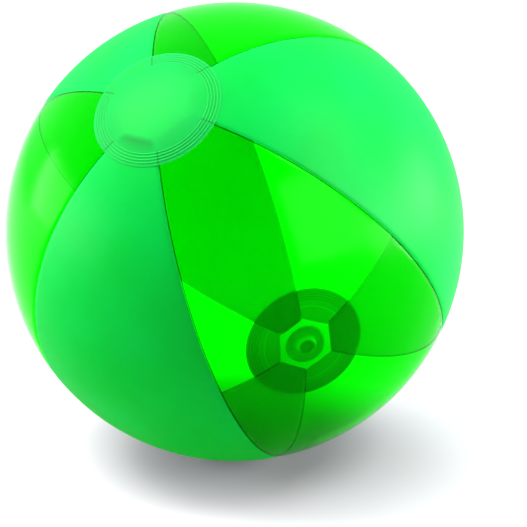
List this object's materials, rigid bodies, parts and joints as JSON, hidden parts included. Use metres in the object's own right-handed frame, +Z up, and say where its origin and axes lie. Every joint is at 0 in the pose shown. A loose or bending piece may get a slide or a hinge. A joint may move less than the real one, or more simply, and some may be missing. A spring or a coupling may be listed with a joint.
{
  "type": "inflatable beach ball",
  "caption": "Inflated vinyl beach ball of alternating frosted and clear green gores, with welded pole discs and a push-in valve with a captive plug.",
  "frame": {"origin": "on the floor under the ball's centre, at the middle of its contact flat", "axes": "+Z up with the ball at rest, +X to the right and +Y away from the viewer; the polar axis leans 40.9 degrees from vertical, plain disc up, valve down"},
  "size_m": [0.235, 0.235, 0.2344],
  "materials": {
    "frosted_vinyl": "frosted translucent green vinyl film, soft sheen",
    "clear_vinyl": "clear green-tinted vinyl film, glossy",
    "frosted_disc_vinyl": "frosted green vinyl film with weld rings",
    "valve_vinyl": "moulded soft vinyl, glossy",
    "plug_vinyl": "moulded soft vinyl, glossy",
    "flap_vinyl": "thin soft vinyl leaf"
  },
  "bodies": {
    "body": {"panel_frosted_1": "frosted_vinyl", "panel_clear_1": "clear_vinyl", "panel_frosted_2": "frosted_vinyl", "panel_clear_2": "clear_vinyl", "panel_frosted_3": "frosted_vinyl", "panel_clear_3": "clear_vinyl", "disc_plain": "frosted_disc_vinyl", "disc_valve": "frosted_disc_vinyl", "valve_collar": "valve_vinyl", "valve_web": "valve_vinyl"},
    "stem": {"valve_stem": "valve_vinyl", "strap_ring": "valve_vinyl", "plug_strap": "valve_vinyl"},
    "plug": {"valve_plug": "plug_vinyl"},
    "flap": {"check_flap": "flap_vinyl"}
  },
  "joints": [
    {"name": "valve_push", "type": "slide", "parent": "body", "child": "stem", "axis": [-0.3219, -0.5708, 0.7554], "range_m": [0, 0.0105], "deforming": ["valve_web"]},
    {"name": "plug_pull", "type": "slide", "parent": "stem", "child": "plug", "axis": [0.3219, 0.5708, -0.7554], "range_m": [0, 0.008], "deforming": ["plug_strap"]},
    {"name": "flap_swing", "type": "hinge", "parent": "stem", "child": "flap", "pos_m": [0.04263, 0.06831, 0.02721], "axis": [-0.1027, 0.8142, 0.5714], "range_deg": [0, 70]}
  ]
}
